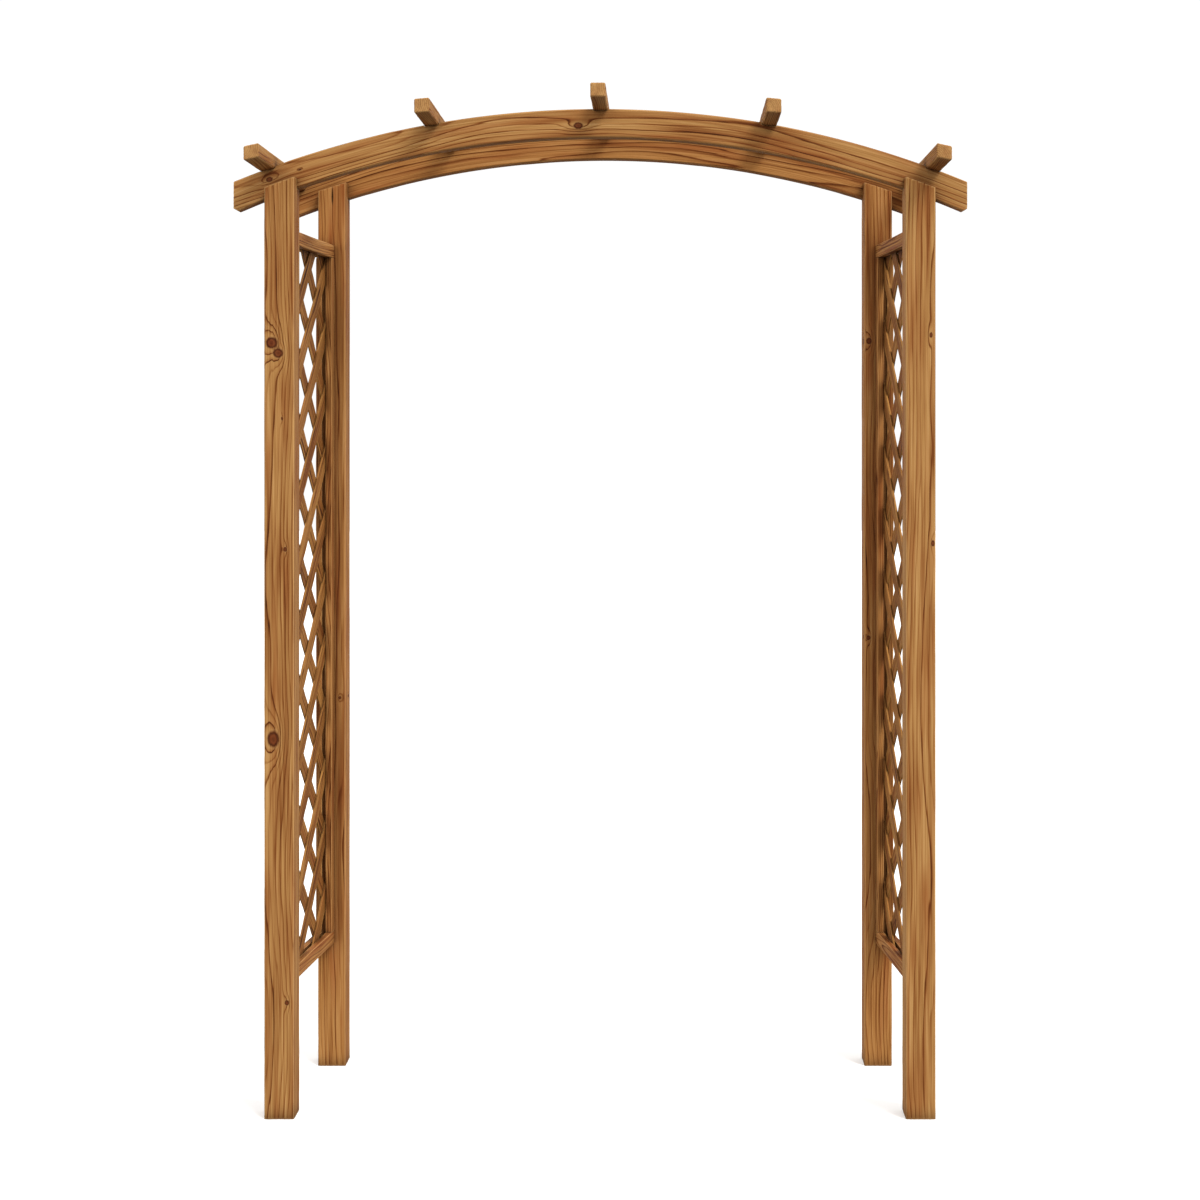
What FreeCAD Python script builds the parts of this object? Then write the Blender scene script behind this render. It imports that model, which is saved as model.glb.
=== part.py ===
import FreeCAD, Part
import math
import os
import Sketcher

# A free-standing timber garden arch. X runs across the path, +Y along it to the rear, +Z up, and the origin
# lies on the ground in the middle of the plan. The rear posts stand further in than the front posts, so the
# lattice panels at the sides toe in. Right-hand pieces are drawn, and left-hand ones are their mirror images.

doc = FreeCAD.newDocument("GardenArch")

# Driving sizes in millimetres and degrees.
SIZES = {
    "overall_height": 2205,       # ground to the top of the centre rafter
    "frame_width": 1445,          # over the outer faces of the front posts
    "frame_depth": 458,           # front face of the front posts to back face of the rear posts
    "rear_inset": 52,             # how far each rear post stands in from its front post
    "post_width": 65,
    "post_depth": 70,
    "post_edge": 4,               # radius of the rounded long edges
    "tongue_thickness": 34,       # the part of a post that rises in front of its arch beam
    "front_tongue_drop": 42,      # from the curved top of a beam down to the top of a front tongue
    "rear_tongue_drop": 24,
    "arch_radius": 2079,          # of the top edge of both beams
    "front_beam_depth": 62,       # between the top and bottom curves of a beam
    "rear_beam_depth": 57,
    "arch_edge": 2.5,             # chamfer along the long edges
    "arch_tail": 72.5,            # past the outer face of a post
    "tail_clip_run": 9,           # the lower corner that is cut off each tail
    "tail_clip_rise": 5,
    "rafter_width": 32,
    "rafter_height": 30,
    "rafter_edge": 2,             # chamfer on every edge
    "rafter_overhang": 148,       # past the front and rear faces of the posts
    "rafter_seat": 4,             # depth of the housing in a beam, at the middle of a rafter
    "rafter_spacing": 10.15,      # angle between rafters, about the arch centre
    "inner_rafter_bevel": 5,      # slope of the top and bottom of the rafters beside the centre one
    "outer_rafter_bevel": 12,
    "rail_width": 38,
    "rail_height": 31,
    "rail_edge": 2,               # radius of the rounded long edges
    "bottom_rail_clearance": 287, # ground to the underside of the bottom rail
    "top_rail_drop": 67,          # lowest edge of a front post's shoulder down to the top of the top rail
    "front_setback": 2,           # inner face of a post to inner face of the rails
    "rear_setback": 26,
    "tenon_thickness": 14,
    "tenon_height": 15,
    "tenon_length": 22,
    "front_stile_thickness": 24,  # the rear stile is as thick as the rails are wide
    "front_stile_width": 18,      # along the panel
    "rear_stile_width": 26,
    "groove_depth": 8,
    "slat_width": 38,
    "slat_thickness": 4,
    "slat_run": 145,              # between crossings along the panel
    "slat_rise": 145,             # between crossings up the panel
    "first_crossing_run": 80,     # from the front post to a column of crossings
    "first_crossing_rise": 15,    # from the bottom rail to the lowest crossing in that column
    "joint_clearance": 0.2,       # each side of a tenon, stub or slat in its slot
    "screw_tip": 8,
    "screw_point": 0.5,           # radius of the blunt end of a tip
    "screw_facets": 16,           # flats round a screw and its hole
    "rafter_screw_sink": 0.5,     # of a rafter screw's head below the face
    "drive_depth": 2,
    "rafter_screw_length": 58,
    "rafter_screw_diameter": 5,
    "rafter_screw_head": 10,
    "arch_screw_length": 110,
    "arch_screw_diameter": 6,
    "arch_screw_head": 12,
    "arch_screw_offset": 35,      # from the inner face of the post
    "arch_screw_tilt": 10,
    "arch_screw_sink": 3,
}
sheet = doc.addObject("Spreadsheet::Sheet", "Sizes")
for row, (alias, size) in enumerate(SIZES.items(), start=1):
    sheet.set(f"A{row}", alias)
    sheet.set(f"B{row}", str(size))
    sheet.setAlias(f"B{row}", alias)
doc.recompute()

# Places that several pieces share.
half_depth = "Sizes.frame_depth / 2"
front_outer = "(Sizes.frame_width / 2)"
rear_outer = f"({front_outer} - Sizes.rear_inset)"
front_inner = f"({front_outer} - Sizes.post_width)"
rear_inner = f"({rear_outer} - Sizes.post_width)"
front_post_y = f"(-{half_depth})"
rear_post_y = f"({half_depth} - Sizes.post_depth)"
crown = "(Sizes.overall_height - Sizes.rafter_height + Sizes.rafter_seat)"
arch_centre = f"({crown} - Sizes.arch_radius)"
front_underside = "(Sizes.arch_radius - Sizes.front_beam_depth)"
rear_underside = "(Sizes.arch_radius - Sizes.rear_beam_depth)"
beam_thickness = "(Sizes.post_depth - Sizes.tongue_thickness)"
rafter_length = "(Sizes.frame_depth + 2 * Sizes.rafter_overhang)"

# The right-hand panel lies along a line from the front post's back face, turned in by the toe angle.
panel_x = f"({front_inner} + Sizes.front_setback)"
panel_y = f"({front_post_y} + Sizes.post_depth)"
panel_gap = "(Sizes.frame_depth - 2 * Sizes.post_depth)"
toe_in = "(Sizes.rear_inset + Sizes.front_setback - Sizes.rear_setback)"
toe_angle = f"atan({toe_in} / {panel_gap})"
panel_run = f"({panel_gap} / cos({toe_angle}))"
window_low = "(Sizes.bottom_rail_clearance + Sizes.rail_height)"
shoulder = f"({arch_centre} + sqrt({front_underside}^2 - {front_outer}^2))"
window_high = f"({shoulder} - Sizes.top_rail_drop - Sizes.rail_height)"
groove_width = "(2 * Sizes.slat_thickness + 2 * Sizes.joint_clearance)"
groove_x = f"((Sizes.rail_width - {groove_width}) / 2)"
tenon_x = "((Sizes.rail_width - Sizes.tenon_thickness) / 2)"
tenon_margin = "((Sizes.rail_height - Sizes.groove_depth - Sizes.tenon_height) / 2)"
bottom_tenon_z = f"(Sizes.bottom_rail_clearance + {tenon_margin})"
top_tenon_z = f"({window_high} + Sizes.groove_depth + {tenon_margin})"

nodes = []


def number(expression):
    """The value of an expression on the sheet's sizes."""
    return float(sheet.evalExpression(expression))


def bind(thing, **expressions):
    """Ties properties of an object to the sheet."""
    for name, expression in expressions.items():
        thing.setExpression(name, expression)


def place(thing, x="0", y="0", z="0", axis=(0, 0, 1), angle="0"):
    """Ties an object's place, and a turn about one axis, to the sheet."""
    for name, expression in zip("xyz", (x, y, z)):
        thing.setExpression(f"Placement.Base.{name}", expression)
    turn = FreeCAD.Rotation(FreeCAD.Vector(*axis), number(angle))
    thing.Placement = FreeCAD.Placement(thing.Placement.Base, turn)
    thing.setExpression("Placement.Rotation.Angle", angle)


def place_in_panel(thing, x="0", y="0", z="0"):
    """Places an object by its distances out from the panel's inner face, along the panel and up."""
    across = f"{panel_x} + ({x}) * cos({toe_angle}) - ({y}) * sin({toe_angle})"
    along = f"{panel_y} + ({x}) * sin({toe_angle}) + ({y}) * cos({toe_angle})"
    place(thing, across, along, z, angle=toe_angle)


def box(name, length, width, height):
    """A plain block, used as stock or to cut with."""
    block = doc.addObject("Part::Box", name)
    bind(block, Length=length, Width=width, Height=height)
    return block


def combine(kind, name, base, tool):
    """A cut, common or fuse of two objects."""
    result = doc.addObject(f"Part::{kind}", name)
    result.Base = base
    result.Tool = tool
    return result


def gather(name, things):
    """Several objects as one group of separate solids."""
    group = doc.addObject("Part::Compound", name)
    group.Links = things
    return group


def mirrored(source, name):
    """The left-hand copy of a right-hand piece."""
    copy = doc.addObject("Part::Mirroring", name)
    copy.Source = source
    copy.Normal = FreeCAD.Vector(1, 0, 0)
    return copy


def keep(thing, label):
    """Marks an object as a finished piece of the arch."""
    thing.Label = label
    nodes.append(thing)
    return thing


def keep_pair(thing, label):
    """Marks a right-hand piece and its left-hand copy as finished."""
    keep(thing, label.format("right"))
    keep(mirrored(thing, label.format("left") + "_copy"), label.format("left"))


def sketch_on(body, plane, name):
    """A sketch on one of the body's own origin planes."""
    sketch = body.newObject("Sketcher::SketchObject", name)
    support = next(part for part in body.Origin.OriginFeatures if part.Role == plane)
    sketch.AttachmentSupport = (support, "")
    sketch.MapMode = "FlatFace"
    return sketch


def dimension(sketch, kind, *target, expression):
    """Adds a dimension to a sketch and ties it to the sheet."""
    index = sketch.addConstraint(Sketcher.Constraint(kind, *target, number(expression)))
    sketch.setExpression(f"Constraints[{index}]", expression)


def outline(sketch, corners, curves=None):
    """Draws a closed outline through corners, each an x and a height. The edges that curves names, by number,
    are arcs of the given radius about the arch centre, and a corner with no height takes it from its arc."""
    curves = curves or {}
    centre = FreeCAD.Vector(0, number(arch_centre), 0)
    points = []
    for index, (across, height) in enumerate(corners):
        x = number(across)
        if height is None:
            radius = number(curves.get(index) or curves[(index - 1) % len(corners)])
            points.append(FreeCAD.Vector(x, centre.y + math.sqrt(radius ** 2 - x ** 2), 0))
        else:
            points.append(FreeCAD.Vector(x, number(height), 0))
    ends = []
    for index, start in enumerate(points):
        finish = points[(index + 1) % len(points)]
        if index in curves:
            right, left = sorted((start, finish), key=lambda point: -point.x)
            angles = [math.atan2(point.y - centre.y, point.x) for point in (right, left)]
            circle = Part.Circle(centre, FreeCAD.Vector(0, 0, 1), number(curves[index]))
            sketch.addGeometry(Part.ArcOfCircle(circle, *angles))
            ends.append((1, 2) if start is right else (2, 1))
        else:
            sketch.addGeometry(Part.LineSegment(start, finish))
            ends.append((1, 2))
    for index in range(len(corners)):
        before = (index - 1) % len(corners)
        meeting = (before, ends[before][1], index, ends[index][0])
        sketch.addConstraint(Sketcher.Constraint("Coincident", *meeting))
    for index, (across, height) in enumerate(corners):
        dimension(sketch, "DistanceX", -1, 1, index, ends[index][0], expression=across)
        if height is not None:
            dimension(sketch, "DistanceY", -1, 1, index, ends[index][0], expression=height)
        if index in curves:
            sketch.addConstraint(Sketcher.Constraint("PointOnObject", index, 3, -2))
            dimension(sketch, "DistanceY", -1, 1, index, 3, expression=arch_centre)
            dimension(sketch, "Radius", index, expression=curves[index])


def pad(body, plane, corners, length, curves=None):
    """Pads an outline towards the rear, or upwards from the ground plane."""
    sketch = sketch_on(body, plane, f"{body.Name}_outline")
    outline(sketch, corners, curves)
    feature = body.newObject("PartDesign::Pad", f"{body.Name}_pad")
    feature.Profile = sketch
    feature.Reversed = plane == "XZ_Plane"
    bind(feature, Length=length)
    doc.recompute()
    return feature


def ease(body, feature, chosen, **size):
    """Takes off the edges of a body that the test chooses, by a Radius or by the Size of a chamfer."""
    edges = [f"Edge{index}" for index, edge in enumerate(feature.Shape.Edges, start=1) if chosen(edge)]
    kind = "Fillet" if "Radius" in size else "Chamfer"
    eased = body.newObject(f"PartDesign::{kind}", f"{body.Name}_eased")
    eased.Base = (feature, edges)
    bind(eased, **size)
    doc.recompute()


def runs_along(axis, shortest):
    """A test for straight edges along an axis that are longer than a size."""
    def chosen(edge):
        if not isinstance(edge.Curve, Part.Line) or edge.Length <= shortest:
            return False
        return math.isclose(abs(edge.Curve.Direction.dot(axis)), 1)
    return chosen


def post_stock(name, inner, outer, drop, underside, y):
    """A post: its top follows the arch, and a notch at the back lets the beam in down to its underside."""
    body = doc.addObject("PartDesign::Body", name)
    top = f"(Sizes.arch_radius - {drop})"
    corners = [(inner, "0"), (outer, "0"), (outer, None), (inner, None)]
    feature = pad(body, "XZ_Plane", corners, "Sizes.post_depth", {2: top})
    sketch = sketch_on(body, "XZ_Plane", f"{name}_notch_outline")
    sketch.setExpression("AttachmentOffset.Base.z", "-Sizes.tongue_thickness")
    left = f"{inner} - Sizes.post_edge"
    right = f"{outer} + Sizes.post_edge"
    high = "Sizes.overall_height"
    outline(sketch, [(left, None), (right, None), (right, high), (left, high)], {0: underside})
    notch = body.newObject("PartDesign::Pocket", f"{name}_notch")
    notch.Profile = sketch
    notch.Type = "ThroughAll"
    doc.recompute()
    if notch.Shape.Volume >= feature.Shape.Volume:
        raise RuntimeError(f"the notch of {name} cut nothing")
    upright = runs_along(FreeCAD.Vector(0, 0, 1), number("Sizes.overall_height / 2"))
    ease(body, notch, upright, Radius="Sizes.post_edge")
    place(body, y=y)
    return body


def beam_stock(name, outer, underside, y):
    """A curved beam with plumb-cut tails, each with its lower corner clipped."""
    body = doc.addObject("PartDesign::Body", name)
    end = f"({outer} + Sizes.arch_tail)"
    clip = f"({end} - Sizes.tail_clip_run)"
    nose = f"{arch_centre} + sqrt({underside}^2 - {clip}^2) + Sizes.tail_clip_rise"
    right = [(clip, None), (end, nose), (end, None)]
    left = [(f"-{end}", None), (f"-{end}", nose), (f"-{clip}", None)]
    feature = pad(body, "XZ_Plane", right + left, beam_thickness, {2: "Sizes.arch_radius", 5: underside})
    ease(body, feature, lambda edge: isinstance(edge.Curve, Part.Circle), Size="Sizes.arch_edge")
    place(body, y=f"{y} + Sizes.tongue_thickness")
    return body


def rafter_middle(step):
    """The x of a rafter's middle and the height of its underside there, some steps from the crown."""
    turn = f"({step} * Sizes.rafter_spacing * 1 deg)"
    across = f"(Sizes.arch_radius * sin{turn})"
    seat = f"({arch_centre} + Sizes.arch_radius * cos{turn} - Sizes.rafter_seat)"
    return across, seat


def rafter_stock(name, step, bevel):
    """A rafter with plumb sides, whose top and bottom slope down outwards."""
    body = doc.addObject("PartDesign::Body", name)
    across, seat = rafter_middle(step)
    slope = f"(Sizes.rafter_width / 2 * tan({bevel} * 1 deg))"
    left = f"{across} - Sizes.rafter_width / 2"
    right = f"{across} + Sizes.rafter_width / 2"
    corners = [
        (left, f"{seat} + {slope}"),
        (right, f"{seat} - {slope}"),
        (right, f"{seat} - {slope} + Sizes.rafter_height"),
        (left, f"{seat} + {slope} + Sizes.rafter_height"),
    ]
    feature = pad(body, "XZ_Plane", corners, rafter_length)
    ease(body, feature, lambda edge: True, Size="Sizes.rafter_edge")
    place(body, y=f"-{rafter_length} / 2")
    return body


def turned(name, rings):
    """A turned solid in flats, lofted through rings that each have a height and a radius."""
    sections = []
    for index, (height, radius) in enumerate(rings, start=1):
        ring = doc.addObject("Part::RegularPolygon", f"{name}_ring_{index}")
        bind(ring, Polygon="Sizes.screw_facets", Circumradius=radius)
        place(ring, z=height)
        sections.append(ring)
    solid = doc.addObject("Part::Loft", name)
    solid.Sections = sections
    solid.Solid = True
    solid.Ruled = True
    return solid


def screw(name, kind, x, y, z, tilt):
    """A countersunk wood screw with a hexagonal drive, and the solid that its hole is cut with."""
    radius = f"Sizes.{kind}_screw_diameter / 2"
    head_radius = f"Sizes.{kind}_screw_head / 2"
    length = f"Sizes.{kind}_screw_length"
    head_depth = f"({head_radius} - {radius})"
    where = {"x": x, "y": y, "z": z, "axis": (0, 1, 0), "angle": tilt}
    point = (f"-{length}", "Sizes.screw_point")
    shank = [(f"Sizes.screw_tip - {length}", radius), (f"-{head_depth}", radius)]
    blank = turned(f"{name}_blank", [point, *shank, ("0", head_radius)])
    drive = doc.addObject("Part::Prism", f"{name}_drive")
    drive.Polygon = 6
    bind(drive, Circumradius=radius, Height="Sizes.drive_depth")
    place(drive, z="-Sizes.drive_depth")
    finished = combine("Cut", name, blank, drive)
    place(finished, **where)
    reach = head_radius
    hole = turned(f"{name}_hole", [point, *shank, (reach, f"{head_radius} + {reach}")])
    place(hole, **where)
    return finished, hole


def rafter_screws(name, step, bevel):
    """The two screws of a rafter, square to its top, one into the middle of each beam's thickness."""
    across, seat = rafter_middle(step)
    tilt = f"{bevel} * 1 deg"
    x = f"{across} - Sizes.rafter_screw_sink * sin({tilt})"
    z = f"{seat} + Sizes.rafter_height - Sizes.rafter_screw_sink * cos({tilt})"
    pair = []
    for end, y in (("front", front_post_y), ("rear", rear_post_y)):
        middle = f"{y} + Sizes.tongue_thickness + {beam_thickness} / 2"
        pair.append(screw(f"{name}_{end}_screw", "rafter", x, middle, z, tilt))
    return pair


def arch_screw(name, inner, y):
    """A long screw from the top of a beam into the shoulder of the post under it."""
    x = f"({inner} + Sizes.arch_screw_offset)"
    z = f"{arch_centre} + sqrt(Sizes.arch_radius^2 - {x}^2) - Sizes.arch_screw_sink"
    middle = f"{y} + Sizes.tongue_thickness + {beam_thickness} / 2"
    return screw(f"{name}_arch_screw", "arch", x, middle, z, "Sizes.arch_screw_tilt * 1 deg")


# Screws. Rafter screws go down through the rafters into the beams, and arch screws through the beams into the
# posts. All are driven from above.
centre_pair = rafter_screws("centre", "0", "0")
right_pair = rafter_screws("right", "1", "Sizes.inner_rafter_bevel")
far_right_pair = rafter_screws("far_right", "2", "Sizes.outer_rafter_bevel")
front_arch_screw = arch_screw("front", front_inner, front_post_y)
rear_arch_screw = arch_screw("rear", rear_inner, rear_post_y)

side_rafter_screws = gather("side_rafter_screws", [item[0] for item in right_pair + far_right_pair])
rafter_screw_group = [item[0] for item in centre_pair]
rafter_screw_group += [side_rafter_screws, mirrored(side_rafter_screws, "side_rafter_screws_copy")]
keep(gather("all_rafter_screws", rafter_screw_group), "rafter_screws")
side_arch_screws = gather("side_arch_screws", [front_arch_screw[0], rear_arch_screw[0]])
arch_screw_group = [side_arch_screws, mirrored(side_arch_screws, "side_arch_screws_copy")]
keep(gather("all_arch_screws", arch_screw_group), "arch_screws")

# Rafters, with their screw holes.
centre_stock = rafter_stock("centre_stock", "0", "0")
right_stock = rafter_stock("right_stock", "1", "Sizes.inner_rafter_bevel")
far_right_stock = rafter_stock("far_right_stock", "2", "Sizes.outer_rafter_bevel")
rafters = []
for stock, pair, label in (
    (centre_stock, centre_pair, "centre"),
    (right_stock, right_pair, "right"),
    (far_right_stock, far_right_pair, "far_right"),
):
    holes = gather(f"{label}_rafter_holes", [item[1] for item in pair])
    rafters.append(combine("Cut", f"{label}_rafter_cut", stock, holes))
keep(rafters[0], "centre_rafter")
keep_pair(rafters[1], "{}_rafter")
keep_pair(rafters[2], "far_{}_rafter")

# Arch beams. Each rafter sits in a shallow housing, cut to the rafter's own section.
side_rafters = gather("side_rafters", [right_stock, far_right_stock])
housings = gather("housings", [centre_stock, side_rafters, mirrored(side_rafters, "side_rafters_copy")])
side_holes = gather("side_beam_holes", [item[1] for item in right_pair + far_right_pair])
arch_holes = gather("arch_screw_holes", [front_arch_screw[1], rear_arch_screw[1]])
beam_holes = gather(
    "beam_holes",
    [item[1] for item in centre_pair]
    + [side_holes, mirrored(side_holes, "side_beam_holes_copy")]
    + [arch_holes, mirrored(arch_holes, "arch_screw_holes_copy")],
)
for label, outer, underside, y in (
    ("front", front_outer, front_underside, front_post_y),
    ("rear", rear_outer, rear_underside, rear_post_y),
):
    stock = beam_stock(f"{label}_beam_stock", outer, underside, y)
    housed = combine("Cut", f"{label}_beam_housed", stock, housings)
    keep(combine("Cut", f"{label}_beam_bored", housed, beam_holes), f"{label}_arch_beam")

# The clear space between the faces of the right-hand posts, which trims whatever butts against them.
between_posts = box("between_posts", front_outer, panel_gap, "Sizes.overall_height")
place(between_posts, y=panel_y)


def rail(name, z, groove_z, tenon_z):
    """A panel rail: a groove for slats and stiles towards the window, and a tenon into each post."""
    stock = doc.addObject("PartDesign::Body", f"{name}_stock")
    overrun = "Sizes.rail_width"
    width, height = "Sizes.rail_width", "Sizes.rail_height"
    section = [("0", "0"), (width, "0"), (width, height), ("0", height)]
    feature = pad(stock, "XZ_Plane", section, f"{panel_run} + 2 * {overrun}")
    ease(stock, feature, runs_along(FreeCAD.Vector(0, 1, 0), 0), Radius="Sizes.rail_edge")
    place_in_panel(stock, y=f"-{overrun}", z=z)
    groove = box(f"{name}_groove", groove_width, f"{panel_run} + 2 * {overrun}", "Sizes.groove_depth")
    place_in_panel(groove, groove_x, f"-{overrun}", groove_z)
    grooved = combine("Cut", f"{name}_grooved", stock, groove)
    trimmed = combine("Common", f"{name}_trimmed", grooved, between_posts)
    reach = f"{panel_run} + 2 * Sizes.tenon_length"
    tenon = box(f"{name}_tenon", "Sizes.tenon_thickness", reach, "Sizes.tenon_height")
    place_in_panel(tenon, tenon_x, "-Sizes.tenon_length", tenon_z)
    return combine("Fuse", f"{name}_rail", trimmed, tenon)


def mortise(name, tenon_z):
    """The slot that a rail's tenons need in the posts, with clearance all round."""
    play = "Sizes.joint_clearance"
    slot = box(
        name,
        f"Sizes.tenon_thickness + 2 * {play}",
        f"{panel_run} + 2 * Sizes.tenon_length + 2 * {play}",
        f"Sizes.tenon_height + 2 * {play}",
    )
    place_in_panel(slot, f"{tenon_x} - {play}", f"-Sizes.tenon_length - {play}", f"{tenon_z} - {play}")
    return slot


# Panel rails, tenoned into the posts.
bottom_groove_z = f"{window_low} - Sizes.groove_depth"
bottom_rail = rail("bottom", "Sizes.bottom_rail_clearance", bottom_groove_z, bottom_tenon_z)
top_rail = rail("top", window_high, window_high, top_tenon_z)
keep_pair(bottom_rail, "{}_bottom_rail")
keep_pair(top_rail, "{}_top_rail")

# Posts, notched for the beams, mortised for the rails and bored for the arch screws.
bottom_mortise = mortise("bottom_mortise", bottom_tenon_z)
top_mortise = mortise("top_mortise", top_tenon_z)
mortises = gather("mortises", [bottom_mortise, top_mortise])
for label, inner, outer, underside, y, fixing in (
    ("front", front_inner, front_outer, front_underside, front_post_y, front_arch_screw),
    ("rear", rear_inner, rear_outer, rear_underside, rear_post_y, rear_arch_screw),
):
    drop = f"Sizes.{label}_tongue_drop"
    stock = post_stock(f"{label}_post_stock", inner, outer, drop, underside, y)
    mortised = combine("Cut", f"{label}_post_mortised", stock, mortises)
    keep_pair(combine("Cut", f"{label}_post_bored", mortised, fixing[1]), label + "_{}_post")

# The space that the slats fill: the window and the grooves around it.
slat_start = "(Sizes.front_stile_width - Sizes.groove_depth)"
slat_finish = f"({panel_run} - Sizes.rear_stile_width + Sizes.groove_depth)"
slat_low = f"({window_low} - Sizes.groove_depth)"
slat_high = f"({window_high} + Sizes.groove_depth)"
stile_groove = box("stile_groove", groove_width, f"{slat_finish} - {slat_start}", f"{slat_high} - {slat_low}")
place_in_panel(stile_groove, groove_x, slat_start, slat_low)


def stile(name, thickness, y):
    """A panel stile: stubs at both ends fit the rail grooves, and a groove takes the slats. It starts longer
    towards its post, and is trimmed to the post's face."""
    stock = doc.addObject("PartDesign::Body", f"{name}_stock")
    width = f"Sizes.{name}_stile_width + Sizes.rail_width"
    section = [("0", "0"), (thickness, "0"), (thickness, width), ("0", width)]
    feature = pad(stock, "XY_Plane", section, f"{window_high} - {window_low}")
    ease(stock, feature, runs_along(FreeCAD.Vector(0, 0, 1), 0), Radius="Sizes.rail_edge")
    place_in_panel(stock, f"(Sizes.rail_width - {thickness}) / 2", y, window_low)
    stub_thickness = f"{groove_width} - 2 * Sizes.joint_clearance"
    stub = box(f"{name}_stub", stub_thickness, width, f"{slat_high} - {slat_low}")
    place_in_panel(stub, f"{groove_x} + Sizes.joint_clearance", y, slat_low)
    stubbed = combine("Fuse", f"{name}_stubbed", stock, stub)
    trimmed = combine("Common", f"{name}_trimmed", stubbed, between_posts)
    return combine("Cut", f"{name}_stile", trimmed, stile_groove)


# Panel stiles, each against its post.
keep_pair(stile("front", "Sizes.front_stile_thickness", "-Sizes.rail_width"), "{}_front_stile")
keep_pair(stile("rear", "Sizes.rail_width", f"{panel_run} - Sizes.rear_stile_width"), "{}_rear_stile")


def slats(name, lean, x):
    """One layer of parallel slats through the crossings, trimmed to the grooves. lean is 1 where they rise
    towards the rear and -1 where they fall. A piece shorter than its own width is not fitted."""
    angle = f"{lean} * atan(Sizes.slat_rise / Sizes.slat_run)"
    length = f"(2 * {panel_run} / cos({angle}))"
    play = "Sizes.joint_clearance"
    tangent = number("Sizes.slat_rise / Sizes.slat_run") * lean
    start, finish = number(f"{slat_start} + {play}"), number(f"{slat_finish} - {play}")
    low, high = number(f"{slat_low} + {play}"), number(f"{slat_high} - {play}")
    crossing_y = number("Sizes.first_crossing_run")
    crossing_z = number(f"{window_low} + Sizes.first_crossing_rise")
    reach = math.ceil((high - low) / number("Sizes.slat_rise") + number(f"{panel_run} / Sizes.slat_run"))
    pieces = []
    for count in range(-reach, reach + 1):
        middle = crossing_z + count * number("Sizes.slat_rise")
        heights = [middle + tangent * (y - crossing_y) for y in (start, finish)]
        inside = min(max(heights), high) - max(min(heights), low)
        if inside < number("Sizes.slat_width"):
            continue
        label = f"{name}_slat_{len(pieces) + 1}"
        piece = box(label, "Sizes.slat_thickness", length, "Sizes.slat_width")
        back = f"(-{length} / 2)"
        down = "(-Sizes.slat_width / 2)"
        y = f"Sizes.first_crossing_run + {back} * cos({angle}) - {down} * sin({angle})"
        rise = f"{window_low} + Sizes.first_crossing_rise + {count} * Sizes.slat_rise"
        z = f"{rise} + {back} * sin({angle}) + {down} * cos({angle})"
        place(piece, x, y, z, axis=(1, 0, 0), angle=angle)
        pieces.append(piece)
    layer = gather(f"{name}_uncut_slats", pieces)
    room = box(
        f"{name}_room",
        "Sizes.rail_width",
        f"{slat_finish} - {slat_start} - 2 * {play}",
        f"{slat_high} - {slat_low} - 2 * {play}",
    )
    place(room, y=f"{slat_start} + {play}", z=f"{slat_low} + {play}")
    trimmed = combine("Common", f"{name}_slats", layer, room)
    place_in_panel(trimmed)
    return trimmed


# Lattice slats in two layers, which meet in the middle of the rail's width.
middle = "(Sizes.rail_width / 2)"
keep_pair(slats("inner", 1, f"{middle} - Sizes.slat_thickness"), "{}_inner_slats")
keep_pair(slats("outer", -1, middle), "{}_outer_slats")

doc.recompute()
for thing in doc.Objects:
    if "Invalid" in thing.State or "Error" in thing.State:
        raise RuntimeError(f"{thing.Label} failed: {thing.State}")
for piece in nodes:
    if piece.Shape.isNull() or not piece.Shape.isValid() or not piece.Shape.Solids:
        raise RuntimeError(f"{piece.Label} has no valid solid")

os.makedirs("parts", exist_ok=True)
for piece in nodes:
    piece.Shape.exportStep(f"parts/{piece.Label}.step")
    print(piece.Label, len(piece.Shape.Solids), round(piece.Shape.Volume))
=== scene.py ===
import math

import bmesh
import bpy
from mathutils import Matrix, Vector, noise


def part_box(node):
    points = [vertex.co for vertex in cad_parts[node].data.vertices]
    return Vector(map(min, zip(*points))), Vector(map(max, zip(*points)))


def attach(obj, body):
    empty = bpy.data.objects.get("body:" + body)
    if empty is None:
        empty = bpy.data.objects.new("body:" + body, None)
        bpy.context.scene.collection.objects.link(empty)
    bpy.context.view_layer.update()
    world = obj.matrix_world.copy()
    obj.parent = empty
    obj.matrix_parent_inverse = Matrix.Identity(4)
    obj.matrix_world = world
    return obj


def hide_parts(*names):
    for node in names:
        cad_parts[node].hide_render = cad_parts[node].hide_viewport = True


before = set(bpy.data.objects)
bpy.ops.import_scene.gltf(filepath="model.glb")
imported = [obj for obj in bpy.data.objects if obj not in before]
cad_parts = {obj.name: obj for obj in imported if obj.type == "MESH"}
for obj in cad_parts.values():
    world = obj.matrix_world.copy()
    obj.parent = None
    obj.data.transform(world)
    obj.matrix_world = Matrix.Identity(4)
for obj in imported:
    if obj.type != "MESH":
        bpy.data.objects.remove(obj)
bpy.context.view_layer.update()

# Front posts: two lengths of sawn and planed larch, 65 by 70 mm, oiled a honey brown. Each stands on its
# own end, and its top is cut back to a tongue that covers the end of the arch beam. Weather has worn the
# soft wood between the rings a little lower and rubbed the long edges.
millimetre = 0.001
touching = 0.01 * millimetre
flat_within = math.radians(1.0)
sharp_from = math.radians(38.0)
fine_across = 2.6 * millimetre
fine_along = 5.0 * millimetre


def merged_copy(node):
    """The construction piece as one closed mesh."""
    bm = bmesh.new()
    bm.from_mesh(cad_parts[node].data)
    bmesh.ops.remove_doubles(bm, verts=bm.verts, dist=touching)
    return bm


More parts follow.
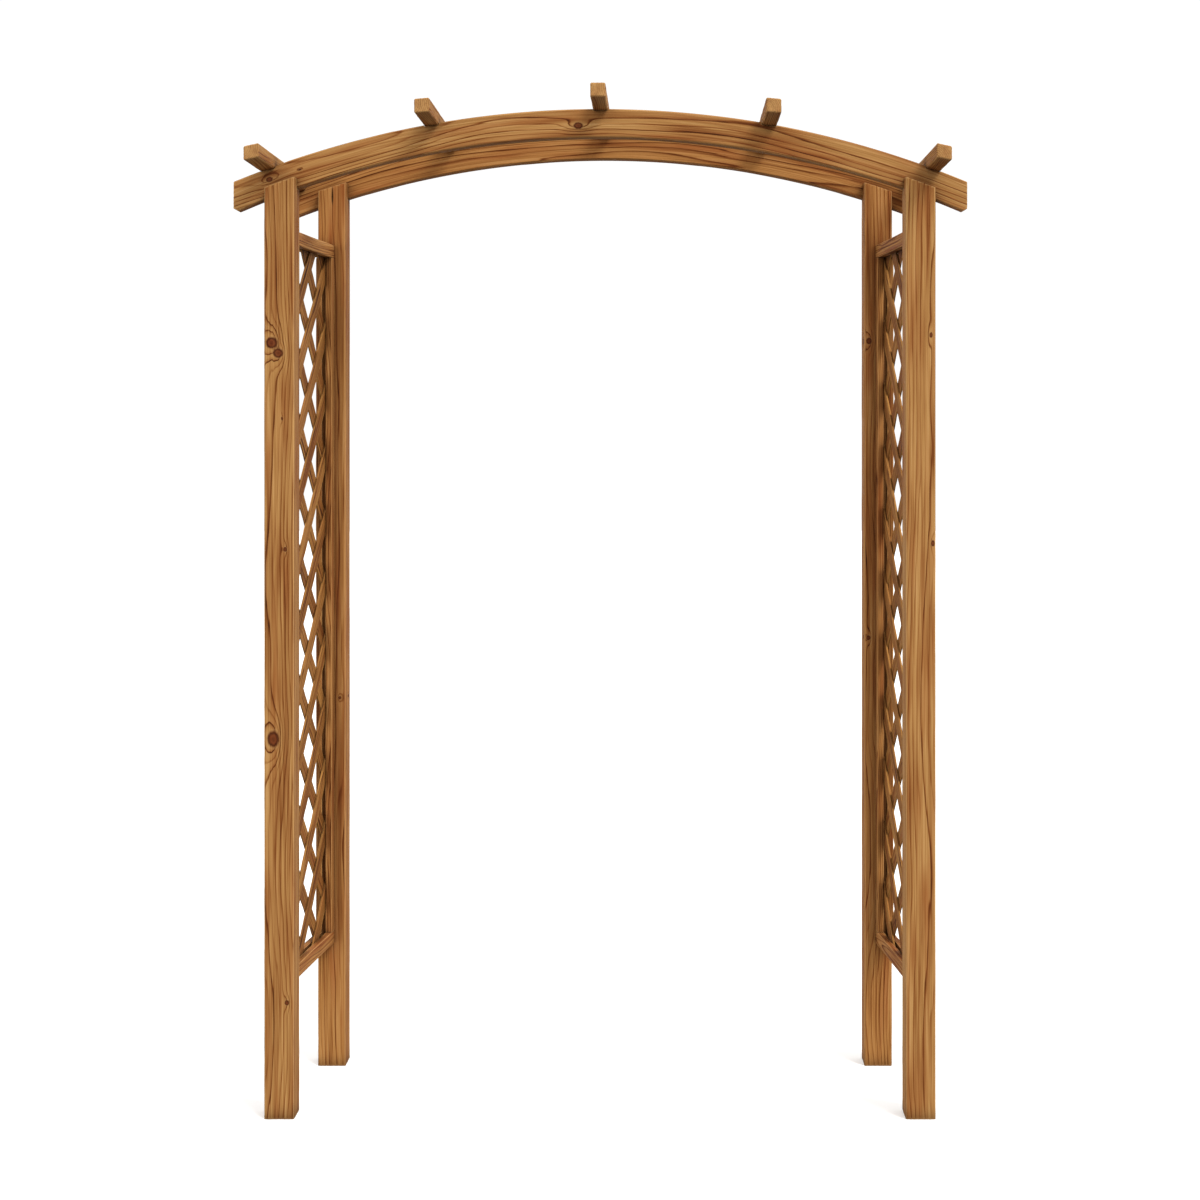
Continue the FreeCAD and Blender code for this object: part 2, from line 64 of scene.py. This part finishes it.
def upright(direction):
    """The same line at unit length, pointing up, or back or to the right where it lies level."""
    nearly_level = 0.3
    line = direction.normalized()
    leading = next(part for part in (line.z, line.y, line.x) if abs(part) > nearly_level)
    return line * math.copysign(1.0, leading)


def grain_turn(bm):
    """The turn that lays a piece along Z by its longest edge, with its broadest face towards Y."""
    longest = max(bm.edges, key=lambda edge: edge.calc_length())
    along = upright(longest.verts[1].co - longest.verts[0].co)
    broadest = max(bm.faces, key=lambda face: (round(face.calc_area(), 5), round(abs(face.normal.z), 3)))
    across = upright(broadest.normal).cross(along).normalized()
    return Matrix((across, along.cross(across), along)).to_4x4()


def separate_boards(bm):
    """Each board as a mesh of its own, from left to right, where a mesh holds several that don't touch."""
    bm.verts.index_update()
    waiting = set(bm.verts)
    boards = []
    for start in bm.verts:
        if start not in waiting:
            continue
        waiting.remove(start)
        points = [start]
        for vert in points:
            for edge in vert.link_edges:
                other = edge.other_vert(vert)
                if other in waiting:
                    waiting.remove(other)
                    points.append(other)
        boards.append((min(vert.co.x for vert in points), {vert.index for vert in points}))
    for _, kept in sorted(boards, key=lambda board: round(board[0], 4)):
        board = bm.copy()
        rest = [vert for vert in board.verts if vert.index not in kept]
        bmesh.ops.delete(board, geom=rest, context="VERTS")
        yield board


def slice_evenly(bm, axis, step):
    """Cuts the faces of a board at even steps along one axis, so that the surface can follow the grain."""
    places = [vert.co[axis] for vert in bm.verts]
    low = min(places)
    reach = max(places) - low
    normal = Vector((axis == 0, axis == 1, axis == 2))
    count = round(reach / step)
    for index in range(1, count):
        point = normal * (low + reach * index / count)
        parts = bm.edges[:] + bm.faces[:]
        bmesh.ops.bisect_plane(bm, geom=parts, dist=touching, plane_co=point, plane_no=normal)


def smooth_step(low, high, value):
    """Rises smoothly from nothing at the low value to one at the high value."""
    share = min(1.0, max(0.0, (value - low) / (high - low)))
    return share * share * (3.0 - 2.0 * share)


far_from_knots = 9.0


def knot_pull(place, heart, ring_width, knot):
    """How many radii a point lies from the middle of a knot, which widens from the heart to the surface, how
    far the grain there is drawn sideways round it, and by how many year rings it is lifted to close into an
    eye. The eye and the drawn grain reach further along the wood than across it."""
    radius_at_heart = 0.6
    drawn_reach = 2.6
    drawn_length = 3.2
    drawn_share = 0.85
    eye_reach = 1.9
    eye_length = 1.9
    eye_rings = 1.8
    lead = Vector((knot["place"].x - heart.x, knot["place"].y - heart.y, 0.0))
    outward = Vector((place.x - heart.x, place.y - heart.y, 0.0))
    share = outward.dot(lead) / lead.length_squared
    if share <= 0.0:
        return far_from_knots, Vector(), 0.0
    beside = outward - lead * share
    rise = place.z - knot["place"].z
    radius = knot["radius"] * (radius_at_heart + (1.0 - radius_at_heart) * share)
    distance = math.hypot(beside.length, rise / knot["stretch"]) / radius
    drawn = (beside.length_squared + (rise / drawn_length) ** 2) / (drawn_reach * radius) ** 2
    eye = (beside.length_squared + (rise / (eye_length * knot["stretch"])) ** 2) / (eye_reach * radius) ** 2
    return distance, beside * drawn_share * math.exp(-drawn), eye_rings * radius / ring_width * math.exp(-eye)


def check_depth(vert, checks):
    """How far a drying check has opened at a point, from nothing at its ends to the whole of its depth."""
    for middle, length in checks:
        way = vert.co - middle
        beside = way - vert.normal * way.dot(vert.normal)
        share = abs(beside.z) / (length / 2)
        beside.z = 0.0
        if share < 1.0 and beside.length < fine_across / 2 and abs(way.dot(vert.normal)) < fine_across:
            return 1.0 - share * share
    return 0.0


def grow(bm, heart, ring_width, seed, shade, knots, checks):
    """Gives each point its place in the tree, as the distance from the heart counted in year rings, and wears
    the surface. The grain runs along Z, and the heart is given from the middle of the board. The heart
    wanders along the log, and the rings ripple finely and swing broadly about it. Soft wood wears deepest,
    edges are rubbed and dented, and late wood and knots stand up."""
    wander_length = 420.0 * millimetre
    wander_reach = 12.0 * millimetre
    ripple_size = 24.0 * millimetre
    ripple_length = 160.0 * millimetre
    ripple_depth = 1.8 * millimetre
    swing_size = 70.0 * millimetre
    swing_length = 500.0 * millimetre
    swing_depth = 4.5 * millimetre
    late_wood_from = 0.45
    late_wood_full = 0.9
    late_wood_ends = 0.94
    edge_from = 0.02
    edge_full = 0.16
    end_grain_from = 0.9
    end_grain_full = 0.99
    end_grain_rub = 0.5
    wear_depth = 0.35 * millimetre
    edge_wear = 0.6
    dent_size = 30.0 * millimetre
    dent_wear = 2.4
    knot_edge = 1.2
    knot_wear = 0.2
    open_depth = 3.5 * millimetre
    seed_shift = Vector((3.17, 7.71, 1.37))
    grain_layer = bm.verts.layers.float_vector.new("grain")
    ring_layer = bm.verts.layers.float.new("rings")
    knot_layer = bm.verts.layers.float.new("knot")
    edge_layer = bm.verts.layers.float.new("edge_highlight_wear_and_ends")
    check_layer = bm.verts.layers.float.new("check")
    shade_layer = bm.verts.layers.float.new("shade")
    lowest = [min(vert.co[axis] for vert in bm.verts) for axis in (0, 1)]
    highest = [max(vert.co[axis] for vert in bm.verts) for axis in (0, 1)]
    middle = [(low + high) / 2 for low, high in zip(lowest, highest)]
    offset = seed_shift * seed
    bm.normal_update()
    moves = []
    for vert in bm.verts:
        run = vert.co.z
        drift = Vector((0.0, 0.0, run / wander_length)) + offset
        wander = (wander_reach * noise.noise(drift), wander_reach * noise.noise(drift.zxy))
        core = Vector((middle[0] + heart[0] + wander[0], middle[1] + heart[1] + wander[1], run))
        place = vert.co.copy()
        nearest = far_from_knots
        lift = 0.0
        for knot in knots:
            distance, pull, rise = knot_pull(vert.co, core, ring_width, knot)
            nearest = min(nearest, distance)
            place -= pull
            lift = max(lift, rise)
        rippled = Vector((place.x / ripple_size, place.y / ripple_size, run / ripple_length))
        swung = Vector((place.x / swing_size, place.y / swing_size, run / swing_length))
        growth = math.hypot(place.x - core.x, place.y - core.y)
        growth += ripple_depth * noise.noise(rippled + offset) + swing_depth * noise.noise(swung - offset)
        rings = growth / ring_width - lift
        phase = rings - math.floor(rings)
        late_wood = smooth_step(late_wood_from, late_wood_full, phase)
        late_wood *= 1.0 - smooth_step(late_wood_ends, 1.0, phase)
        edge = smooth_step(edge_from, edge_full, 1.0 - max(abs(part) for part in vert.normal))
        sawn_end = end_grain_rub * smooth_step(end_grain_from, end_grain_full, abs(vert.normal.z))
        dent = max(0.0, noise.noise(vert.co / dent_size + offset))
        soft = 1.0 - late_wood if nearest > knot_edge else knot_wear
        check = check_depth(vert, checks)
        worn = wear_depth * (soft + edge * (edge_wear + dent_wear * dent)) + open_depth * check
        moves.append((vert, vert.normal * worn))
        vert[grain_layer] = vert.co + offset
        vert[ring_layer] = rings
        vert[knot_layer] = nearest
        # The edge share also lightens the colour: partly wear, partly a painted highlight on the edges.
        vert[edge_layer] = max(edge, sawn_end)
        vert[check_layer] = check
        vert[shade_layer] = shade
    for vert, move in moves:
        vert.co -= move


def timber(node, heart, ring_width, seed, material, shade=0.0, knots=(), checks=(),
           unbend=None, bend=None):
    """The piece that stands for a construction piece: laid along its grain, sliced, grown and put back in its
    place. Sizes are in millimetres. A knot is a point on the surface, its radius and how much longer than
    wide it is. A check is the point in its middle and its length. On a bent piece these points are where they
    lie before it is bent."""
    seed_step = 0.618
    shade_swing = 0.08
    shade_step = 2.4
    bm = merged_copy(node)
    if unbend:
        for vert in bm.verts:
            vert.co = unbend(vert.co)
    bmesh.ops.dissolve_limit(bm, angle_limit=flat_within, verts=bm.verts, edges=bm.edges)
    turn = grain_turn(bm)
    bmesh.ops.transform(bm, matrix=turn, verts=bm.verts)
    heart = [part * millimetre for part in heart]
    knots = [
        {"place": turn @ (Vector(knot[:3]) * millimetre), "radius": knot[3] * millimetre, "stretch": knot[4]}
        for knot in knots]
    checks = [(turn @ (Vector(check[:3]) * millimetre), check[3] * millimetre) for check in checks]
    mesh = bpy.data.meshes.new(node + "_timber")
    boards = list(separate_boards(bm))
    bm.clear()
    for number, board in enumerate(boards):
        slice_evenly(board, 2, fine_along)
        slice_evenly(board, 0, fine_across)
        slice_evenly(board, 1, fine_across)
        board_seed = seed + seed_step * number
        board_shade = shade + shade_swing * math.sin(shade_step * number)
        grow(board, heart, ring_width * millimetre, board_seed, board_shade, knots, checks)
        board.to_mesh(mesh)
        board.free()
        bm.from_mesh(mesh)
    bmesh.ops.transform(bm, matrix=turn.inverted(), verts=bm.verts)
    if bend:
        for vert in bm.verts:
            vert.co = bend(vert.co)
    for face in bm.faces:
        face.smooth = True
    for edge in bm.edges:
        edge.smooth = edge.calc_face_angle(0.0) < sharp_from
    bm.to_mesh(mesh)
    bm.free()
    mesh.materials.append(material)
    piece = bpy.data.objects.new(node + "_timber", mesh)
    bpy.context.scene.collection.objects.link(piece)
    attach(piece, "root")
    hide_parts(node)


def linear(colour):
    """An sRGB hex colour as linear red, green, blue and alpha."""
    shares = [int(colour[place:place + 2], 16) / 255 for place in (1, 3, 5)]
    light = [share / 12.92 if share <= 0.04045 else ((share + 0.055) / 1.055) ** 2.4 for share in shares]
    return (*light, 1.0)


def add(tree, kind, links=None, stops=None, **settings):
    """Adds a node with its settings. A link gives a socket its value, or the output that feeds it, which is
    the first one in use where a node is given. Stops are the places and colours of a ramp."""
    node = tree.nodes.new(kind)
    for name, value in settings.items():
        setattr(node, name, value)
    for socket, value in (links or {}).items():
        if isinstance(value, bpy.types.Node):
            value = next(output for output in value.outputs if output.enabled)
        if isinstance(value, bpy.types.NodeSocket):
            tree.links.new(value, node.inputs[socket])
        else:
            node.inputs[socket].default_value = value
    for index, (place, colour) in enumerate(stops or ()):
        elements = node.color_ramp.elements
        element = elements[index] if index < 2 else elements.new(place)
        element.position = place
        element.color = linear(colour)
    return node


def oiled_larch(name, palest, pale, brown, dark, blush):
    """Larch under oil: pale early wood that turns to hard dark late wood in each ring, fine fibres along the
    grain, reddish knots, edges rubbed lighter and partly given a painted highlight, and painted shade in
    corners and where pieces meet."""
    material = bpy.data.materials.new(name)
    material.use_nodes = True
    tree = material.node_tree
    grain = add(tree, "ShaderNodeAttribute", attribute_name="grain").outputs["Vector"]
    rings = add(tree, "ShaderNodeAttribute", attribute_name="rings").outputs["Fac"]
    knot = add(tree, "ShaderNodeAttribute", attribute_name="knot").outputs["Fac"]
    edge = add(tree, "ShaderNodeAttribute", attribute_name="edge_highlight_wear_and_ends").outputs["Fac"]
    check = add(tree, "ShaderNodeAttribute", attribute_name="check").outputs["Fac"]
    shade = add(tree, "ShaderNodeAttribute", attribute_name="shade").outputs["Fac"]

    # Streaks are noise drawn out along the grain, each with its width and length in millimetres and its
    # layers of detail. Real fibres are too fine to show, so they are drawn 1.4 mm wide.
    streak_sizes = {
        "waves": (10.0, 170.0, 2.0),
        "fibres": (1.4, 120.0, 4.0),
        "bands": (3.6, 240.0, 2.0),
        "patches": (30.0, 380.0, 2.0),
        "flushes": (20.0, 240.0, 1.0),
        "nicks": (3.0, 9.0, 2.0)}
    streaks = {}
    for streak, (width, length, detail) in streak_sizes.items():
        scale = (1.0 / (width * millimetre), 1.0 / (width * millimetre), 1.0 / (length * millimetre))
        drawn = add(tree, "ShaderNodeVectorMath", {0: grain, 1: scale}, operation="MULTIPLY")
        streaks[streak] = add(tree, "ShaderNodeTexNoise", {"Vector": drawn, "Scale": 1.0, "Detail": detail})
    fibres = streaks["fibres"]

    # Each year ends in a dark line, harder in some years than in others, and hardest round a knot.
    ring_stops = [(0.0, "#181818"), (1.0, "#181818"), (0.4, "#000000"), (0.72, "#808080"), (0.9, "#FFFFFF")]
    wavy = add(tree, "ShaderNodeMath", {0: streaks["waves"], 1: 0.7, 2: rings}, operation="MULTIPLY_ADD")
    whole_years = add(tree, "ShaderNodeMath", {0: wavy}, operation="FLOOR")
    season = add(tree, "ShaderNodeMath", {0: wavy}, operation="FRACT")
    year = add(tree, "ShaderNodeTexWhiteNoise", {"W": whole_years}, noise_dimensions="1D")
    ring = add(tree, "ShaderNodeValToRGB", {"Fac": season}, ring_stops)
    near_knot = add(tree, "ShaderNodeMapRange", {0: knot, 1: 1.3, 2: 4.5, 3: 0.65, 4: 0.3})
    hardness = add(tree, "ShaderNodeMath", {0: year, 1: 0.7, 2: near_knot}, operation="MULTIPLY_ADD")
    late = add(tree, "ShaderNodeMath", {0: ring, 1: hardness}, operation="MULTIPLY")

    # Fibres and broader streaks shift the tone between the rings, and some of the wood is redder.
    faint = add(tree, "ShaderNodeMath", {0: fibres, 1: 0.4}, operation="MULTIPLY")
    lines = add(tree, "ShaderNodeMath", {0: streaks["bands"], 1: 0.6, 2: faint}, operation="MULTIPLY_ADD")
    mottle = add(tree, "ShaderNodeMath", {0: streaks["patches"], 1: 0.5, 2: lines}, operation="MULTIPLY_ADD")
    depth = add(tree, "ShaderNodeMapRange", {0: mottle, 1: 0.45, 2: 1.05, 3: 0.0, 4: 0.68})
    ground = add(tree, "ShaderNodeMath", {0: shade, 1: depth}, operation="ADD")
    tone = add(tree, "ShaderNodeMath", {0: late, 1: 0.6, 2: ground}, operation="MULTIPLY_ADD")
    wood_stops = [(0.0, palest), (1.0, dark), (0.33, pale), (0.66, brown)]
    wood = add(tree, "ShaderNodeValToRGB", {"Fac": tone}, wood_stops)
    redness = add(tree, "ShaderNodeMapRange", {0: streaks["flushes"], 1: 0.45, 2: 0.72, 3: 0.0, 4: 0.55})
    blushed = {"Factor": redness, "A": wood, "B": linear(blush)}
    warm = add(tree, "ShaderNodeMix", blushed, data_type="RGBA", blend_type="MULTIPLY")

    # A knot is red-brown inside a nearly black rim, whose outline is a little ragged.
    knot_stops = [(0.0, "#4E200C"), (1.0, "#B98C56"), (0.36, "#713718"), (0.6, "#3E1605"), (0.7, "#5E3013")]
    inset = add(tree, "ShaderNodeMath", {0: knot, 1: 0.2}, operation="SUBTRACT")
    ragged = add(tree, "ShaderNodeMath", {0: streaks["nicks"], 1: 0.4, 2: inset}, operation="MULTIPLY_ADD")
    outward = add(tree, "ShaderNodeMath", {0: ragged, 1: 0.65}, operation="MULTIPLY")
    knot_wood = add(tree, "ShaderNodeValToRGB", {"Fac": outward}, knot_stops)
    in_knot = add(tree, "ShaderNodeMapRange", {0: ragged, 1: 1.05, 2: 1.6, 3: 0.95, 4: 0.0})
    knotted = add(tree, "ShaderNodeMix", {"Factor": in_knot, "A": warm, "B": knot_wood}, data_type="RGBA")

    # Edges and sawn ends are rubbed pale along the fibres, and the edges also get a painted highlight. Checks
    # are dark inside, and corners get painted shade.
    patchy = add(tree, "ShaderNodeMapRange", {0: fibres, 1: 0.3, 2: 0.7, 3: 0.25, 4: 0.95})
    # The pale on edges is partly wear and partly a painted highlight where the surface turns.
    rub_and_highlight = add(tree, "ShaderNodeMath", {0: edge, 1: patchy}, operation="MULTIPLY")
    rubbed_and_highlit = add(tree, "ShaderNodeMix", {"Factor": rub_and_highlight, "A": knotted, "B": linear(palest)}, data_type="RGBA")
    gap_dark = linear("#1E0E05")
    gap = add(tree, "ShaderNodeMath", {0: check, 1: 0.9}, operation="MULTIPLY")
    opened = add(tree, "ShaderNodeMix", {"Factor": gap, "A": rubbed_and_highlit, "B": gap_dark}, data_type="RGBA")
    # Painted shade: colour darkens to deep brown where ambient occlusion finds parts within 40 mm.
    painted_shade_dark = linear("#2B1405")
    painted_shade_reach = 40.0 * millimetre
    corners = add(tree, "ShaderNodeAmbientOcclusion", {"Distance": painted_shade_reach}, samples=6).outputs["AO"]
    painted_shade = add(tree, "ShaderNodeMapRange", {0: corners, 1: 0.35, 2: 0.9, 3: 0.72, 4: 0.0})
    painted_shaded = add(tree, "ShaderNodeMix", {"Factor": painted_shade, "A": opened, "B": painted_shade_dark}, data_type="RGBA")

    # The oil has soaked in, so the wood is nearly matt, and the fibres and late wood stand up a little.
    matt = add(tree, "ShaderNodeMapRange", {0: fibres, 1: 0.25, 2: 0.75, 3: 0.6, 4: 0.85})
    height = add(tree, "ShaderNodeMath", {0: fibres, 1: 0.8, 2: late}, operation="MULTIPLY_ADD")
    relief = add(tree, "ShaderNodeBump", {"Height": height, "Strength": 0.9, "Distance": 0.7 * millimetre})
    shader = tree.nodes["Principled BSDF"]
    tree.links.new(painted_shaded.outputs["Result"], shader.inputs["Base Color"])
    tree.links.new(matt.outputs["Result"], shader.inputs["Roughness"])
    tree.links.new(relief.outputs["Normal"], shader.inputs["Normal"])
    shader.inputs["Specular IOR Level"].default_value = 0.1
    return material


post_larch = oiled_larch(
    "oiled_larch", palest="#CC9F67", pale="#AF7F48", brown="#7E481D", dark="#442007", blush="#C88C5A")
front_left_knots = [
    (-706.0, -229.0, 1670.0, 10.0, 1.05),
    (-692.0, -229.0, 1648.0, 8.2, 1.05),
    (-702.5, -229.0, 818.0, 9.8, 1.5),
    (-683.5, -229.0, 1507.0, 2.2, 1.6),
    (-677.0, -229.0, 1226.0, 3.0, 1.5),
    (-673.0, -229.0, 251.0, 3.5, 1.4)]
timber("front_left_post", heart=(-64.0, -58.0), ring_width=5.4, seed=11.0, material=post_larch, shade=0.05,
       knots=front_left_knots)
front_right_knots = [
    (712.0, -229.0, 1687.0, 2.8, 1.9),
    (716.0, -229.0, 1239.0, 3.2, 1.8)]
timber("front_right_post", heart=(-72.0, 61.0), ring_width=5.8, seed=23.0, material=post_larch,
       knots=front_right_knots)

# Rear posts: two more lengths of the same section, from a redder log. They are cut to tongues like the front
# posts, and stand 52 mm further in on each side.
rear_larch = oiled_larch(
    "oiled_red_larch", palest="#CC9B62", pale="#AE7840", brown="#774219", dark="#3A1804", blush="#C47E4E")
rear_left_knots = [(-619.0, 159.0, 860.0, 3.0, 1.2)]
rear_left_checks = [(-637.0, 159.0, 2030.0, 44.0)]
timber("rear_left_post", heart=(-60.0, 52.0), ring_width=5.2, seed=37.0, material=rear_larch,
       knots=rear_left_knots, checks=rear_left_checks)
rear_right_knots = [
    (616.5, 159.0, 1693.0, 5.0, 1.3),
    (615.0, 159.0, 1000.0, 4.0, 1.2)]
timber("rear_right_post", heart=(-58.0, -64.0), ring_width=5.0, seed=41.0, material=rear_larch,
       knots=rear_right_knots)

# Arch beams: two curved beams, 36 mm thick and about 60 mm deep, glued up from thin larch strips bent round a
# former, so that the grain follows the curve. Each sits on the shoulders of its posts behind their tongues.
arch_radius = 2079.0 * millimetre
arch_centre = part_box("front_arch_beam")[1].z - arch_radius


def unbent(place):
    """A point of the arch as if the beam lay straight, as high as it is far from the centre of the curve."""
    angle = math.atan2(place.x, place.z - arch_centre)
    return Vector((arch_radius * angle, place.y, math.hypot(place.x, place.z - arch_centre)))


def bent(place):
    """The way back from the straight beam to the arch."""
    angle = place.x / arch_radius
    return Vector((place.z * math.sin(angle), place.y, arch_centre + place.z * math.cos(angle)))


front_beam_knots = [
    (-49.0, -195.0, 2043.0, 5.5, 1.6),
    (-741.0, -195.0, 2055.0, 4.4, 1.5),
    (-671.0, -195.0, 2053.0, 2.2, 1.5)]
timber("front_arch_beam", heart=(-30.0, 46.0), ring_width=5.2, seed=53.0, material=post_larch, shade=0.02,
       knots=front_beam_knots, unbend=unbent, bend=bent)
timber("rear_arch_beam", heart=(28.0, 50.0), ring_width=5.0, seed=61.0, material=rear_larch,
       unbend=unbent, bend=bent)

# Rafters: five larch battens laid over both beams and let 4 mm into them, each turned a little to follow the
# curve and screwed down from above. Their sawn ends show the rings.
rafters = ("far_left_rafter", "left_rafter", "centre_rafter", "right_rafter", "far_right_rafter")
for number, rafter in enumerate(rafters):
    rafter_heart = (14.0 - 9.0 * number, -22.0)
    timber(rafter, heart=rafter_heart, ring_width=3.6, seed=71.0 + 3.0 * number, material=post_larch)

# Panel rails: a top and a bottom rail of planed larch on each side, tenoned into the posts. A groove along
# each takes the ends of the slats.
rails = ("left_top_rail", "left_bottom_rail", "right_top_rail", "right_bottom_rail")
for number, rail in enumerate(rails):
    rail_heart = (30.0, 34.0 - 12.0 * number)
    timber(rail, heart=rail_heart, ring_width=4.2, seed=91.0 + 3.0 * number, material=rear_larch)

# Panel stiles: an upright of planed larch against each post, stubbed into the rails at both ends. A groove
# along each takes the ends of the slats.
stiles = ("left_front_stile", "left_rear_stile", "right_front_stile", "right_rear_stile")
for number, stile in enumerate(stiles):
    stile_heart = (34.0, 26.0 - 10.0 * number)
    timber(stile, heart=stile_heart, ring_width=4.4, seed=107.0 + 3.0 * number, material=rear_larch)

# Lattice slats: thin sawn larch laths, 38 by 4 mm, in two crossed layers. Their ends sit in the grooves of
# the rails and stiles, and they are a shade darker than the frame, because sawn wood takes up more oil.
slat_larch = oiled_larch(
    "oiled_larch_laths", palest="#BC8B4C", pale="#9C6830", brown="#6E3E14", dark="#3C1C05", blush="#C08050")
slat_layers = ("left_inner_slats", "left_outer_slats", "right_inner_slats", "right_outer_slats")
for number, slats in enumerate(slat_layers):
    timber(slats, heart=(11.0, 27.0), ring_width=4.0, seed=131.0 + 17.0 * number, material=slat_larch)

# Screws: zinc-plated countersunk screws, one through each rafter into each beam and one through each beam end
# into its post. Zinc is a pale bluish grey with a faint crystalline mottle.
zinc = bpy.data.materials.new("zinc_plated_steel")
zinc.use_nodes = True
zinc_tree = zinc.node_tree
zinc_shader = zinc_tree.nodes["Principled BSDF"]
zinc_shader.inputs["Metallic"].default_value = 1.0
spangle_size = 1.2 * millimetre
screw_place = add(zinc_tree, "ShaderNodeTexCoord").outputs["Object"]
spangle = add(zinc_tree, "ShaderNodeTexVoronoi", {"Vector": screw_place, "Scale": 1.0 / spangle_size})
zinc_stops = [(0.0, "#9A9C9E"), (1.0, "#C2C4C4")]
zinc_colour = add(zinc_tree, "ShaderNodeValToRGB", {"Fac": spangle.outputs["Color"]}, zinc_stops)
zinc_gloss = add(zinc_tree, "ShaderNodeMapRange", {0: spangle.outputs["Distance"], 3: 0.32, 4: 0.5})
zinc_tree.links.new(zinc_colour.outputs["Color"], zinc_shader.inputs["Base Color"])
zinc_tree.links.new(zinc_gloss.outputs["Result"], zinc_shader.inputs["Roughness"])
for screws in ("rafter_screws", "arch_screws"):
    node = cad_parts[screws]
    node.data.materials.clear()
    node.data.materials.append(zinc)

# Floor and light: a plain white floor, a white room that turns grey below the horizon, one broad soft light
# from the front, above and right, and a weak one from the left. The floor gives the arch no light of its
# own, so that the undersides stay dark.
floor_reach = 30.0
floor_mesh = bpy.data.meshes.new("floor")
floor_bm = bmesh.new()
bmesh.ops.create_grid(floor_bm, x_segments=1, y_segments=1, size=floor_reach)
floor_bm.to_mesh(floor_mesh)
floor_bm.free()
floor = bpy.data.objects.new("floor", floor_mesh)
bpy.context.scene.collection.objects.link(floor)
paper = bpy.data.materials.new("white_paper")
paper.use_nodes = True
paper_shader = paper.node_tree.nodes["Principled BSDF"]
paper_shader.inputs["Base Color"].default_value = linear("#F4F4F2")
paper_shader.inputs["Roughness"].default_value = 0.9
paper_shader.inputs["Emission Color"].default_value = linear("#FFFFFF")
paper_shader.inputs["Emission Strength"].default_value = 0.22
floor_mesh.materials.append(paper)
floor.visible_diffuse = False
floor.visible_glossy = False

world = bpy.data.worlds.new("white_room")
world.use_nodes = True
bpy.context.scene.world = world
room = world.node_tree
direction = add(room, "ShaderNodeTexCoord").outputs["Generated"]
upward = add(room, "ShaderNodeSeparateXYZ", {0: direction}).outputs["Z"]
wall = add(room, "ShaderNodeMapRange", {0: upward, 1: -0.4, 2: -0.08})
tones = {"Factor": wall, "A": linear("#8C8C8C"), "B": linear("#FFFFFF")}
walls = add(room, "ShaderNodeMix", tones, data_type="RGBA")
room.links.new(walls.outputs["Result"], room.nodes["Background"].inputs["Color"])
room.nodes["Background"].inputs["Strength"].default_value = 1.04

soft_sun = {"energy": 2.05, "spread": 24.0, "tilt": 43.0, "bearing": 44.0}
left_fill = {"energy": 0.32, "spread": 60.0, "tilt": 78.0, "bearing": -62.0}
for name, light in {"soft_sun": soft_sun, "left_fill": left_fill}.items():
    lamp_data = bpy.data.lights.new(name, "SUN")
    lamp_data.angle = math.radians(light["spread"])
    lamp_data.energy = light["energy"]
    lamp = bpy.data.objects.new(name, lamp_data)
    lamp.rotation_euler = (math.radians(light["tilt"]), 0.0, math.radians(light["bearing"]))
    bpy.context.scene.collection.objects.link(lamp)

# Camera: level, at chest height in front of the arch, with the frame shifted so that the arch stands in its
# middle. Places in the image are in its pixels, and the scale is metres to a pixel at the front posts.
image_size = 1200.0
vanishing_point = (664.0, 443.0)
arch_middle = 599.9
front_scale = 0.00215
camera_height = 1.4547
camera_distance = 4.744
camera_data = bpy.data.cameras.new("camera")
camera_data.sensor_width = 36.0
camera_data.lens = 63.0
camera_data.shift_x = 0.5 - vanishing_point[0] / image_size
camera_data.shift_y = vanishing_point[1] / image_size - 0.5
camera = bpy.data.objects.new("camera", camera_data)
camera.location = ((vanishing_point[0] - arch_middle) * front_scale, -camera_distance, camera_height)
camera.rotation_euler = (math.radians(90.0), 0.0, 0.0)
bpy.context.scene.collection.objects.link(camera)
bpy.context.scene.camera = camera
bpy.context.scene.view_settings.view_transform = "Standard"
